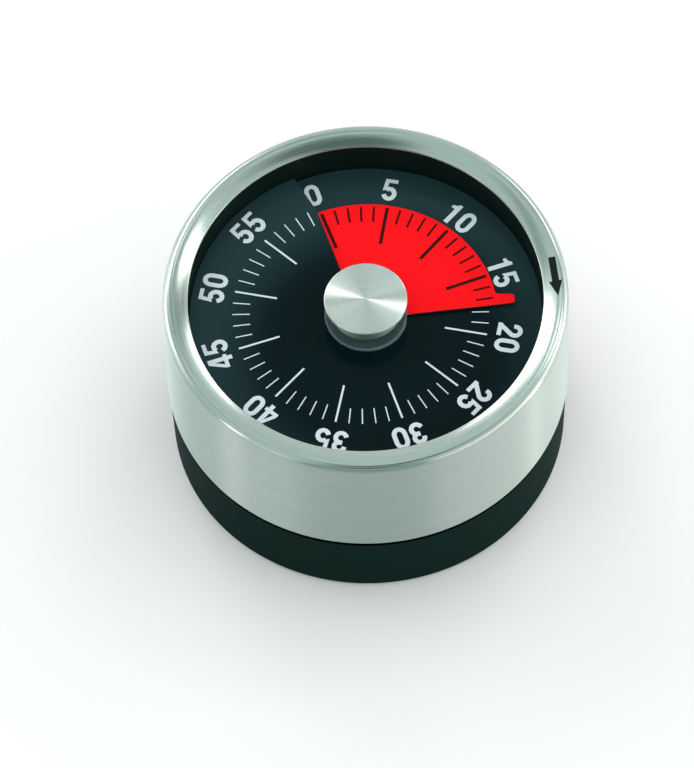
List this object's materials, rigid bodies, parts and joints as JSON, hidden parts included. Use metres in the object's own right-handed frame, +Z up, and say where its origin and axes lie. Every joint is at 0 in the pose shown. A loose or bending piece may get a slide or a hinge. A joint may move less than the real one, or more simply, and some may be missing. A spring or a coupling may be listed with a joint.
{
  "type": "countdown timer",
  "caption": "Round mechanical countdown timer: brushed steel drum on a black base, recessed minute dial, red disc that shows the time left, and a centre winding knob.",
  "frame": {"origin": "centre of the face that the timer stands on", "axes": "+Z up along the spindle; -Y to the picture's viewer, +X to the right"},
  "size_m": [0.0776, 0.0776, 0.0455],
  "materials": {
    "brushed_case": "horizontally brushed",
    "black_base": "satin moulded",
    "black_liner": "satin moulded",
    "foot_rubber": "matt",
    "dial_black": "printed sheet, soft gloss",
    "disc_red": "printed sheet, matt",
    "clear_hub": "clear moulded",
    "turned_knob": "face turned",
    "arbor_steel": "turned",
    "spring_steel": "blued",
    "wheel_brass": "stamped",
    "plate_brass": "stamped",
    "wheel_acetal": "moulded acetal",
    "bell_plated": "nickel plated"
  },
  "bodies": {
    "base": {"base_shell": "black_base", "foot_ring": "foot_rubber", "steel_case": "brushed_case", "liner": "black_liner", "case_screws": "arbor_steel", "dial": "dial_black", "spindle_bush": "wheel_brass", "bottom_plate": "plate_brass", "top_plate": "plate_brass", "pillars": "arbor_steel", "pillar_nuts": "arbor_steel", "movement_screws": "arbor_steel", "mainspring": "spring_steel", "bell": "bell_plated", "bell_screw": "arbor_steel"},
    "winder": {"knob": "turned_knob", "spindle": "arbor_steel", "main_wheel": "wheel_brass", "clutch_spring": "spring_steel", "alarm_cam": "wheel_acetal"},
    "disc": {"red_disc": "disc_red", "disc_hub": "clear_hub"},
    "second_set": {"second_arbor": "arbor_steel", "second_pinion": "wheel_acetal", "second_wheel": "wheel_acetal"},
    "third_set": {"third_arbor": "arbor_steel", "third_pinion": "wheel_acetal", "third_wheel": "wheel_acetal"},
    "escape_set": {"escape_arbor": "arbor_steel", "escape_pinion": "wheel_acetal", "escape_wheel": "wheel_acetal"},
    "balance": {"pallet_arbor": "arbor_steel", "pallet_lever": "wheel_acetal", "balance_wheel": "wheel_brass"},
    "striker": {"hammer_arbor": "arbor_steel", "hammer": "arbor_steel", "trip_arm": "arbor_steel"}
  },
  "joints": [
    {"name": "knob_turn", "type": "hinge", "parent": "base", "child": "winder", "pos_m": [0, 0, 0], "axis": [0, 0, 1], "range_deg": [-258, 102]},
    {"name": "red_disc_rise", "type": "slide", "parent": "winder", "child": "disc", "axis": [0, 0, 1], "range_m": [-0.00046, 0.00116]},
    {"name": "second_turn", "type": "hinge", "parent": "base", "child": "second_set", "pos_m": [-0.0148, -0.00539, 0], "axis": [0, 0, 1], "range_deg": [-613, 1549]},
    {"name": "third_turn", "type": "hinge", "parent": "base", "child": "third_set", "pos_m": [-0.00736, -0.0148, 0], "axis": [0, 0, 1], "range_deg": [-7741, 3061]},
    {"name": "escape_turn", "type": "hinge", "parent": "base", "child": "escape_set", "pos_m": [0.0003, -0.01902, 0], "axis": [0, 0, 1], "range_deg": [-12241, 30961]},
    {"name": "balance_swing", "type": "hinge", "parent": "base", "child": "balance", "pos_m": [0.00778, -0.01843, 0], "axis": [0, 0, 1], "range_deg": [-4, 4]},
    {"name": "hammer_swing", "type": "hinge", "parent": "base", "child": "striker", "pos_m": [-0.00752, 0.02067, 0], "axis": [0, 0, 1], "range_deg": [-10, 0]}
  ],
  "couplings": [
    {"joint": "red_disc_rise", "follows": "knob_turn", "m_per_rad": -0.00025465},
    {"joint": "second_turn", "follows": "knob_turn", "ratio": -6},
    {"joint": "third_turn", "follows": "knob_turn", "ratio": 30},
    {"joint": "escape_turn", "follows": "knob_turn", "ratio": -120}
  ]
}
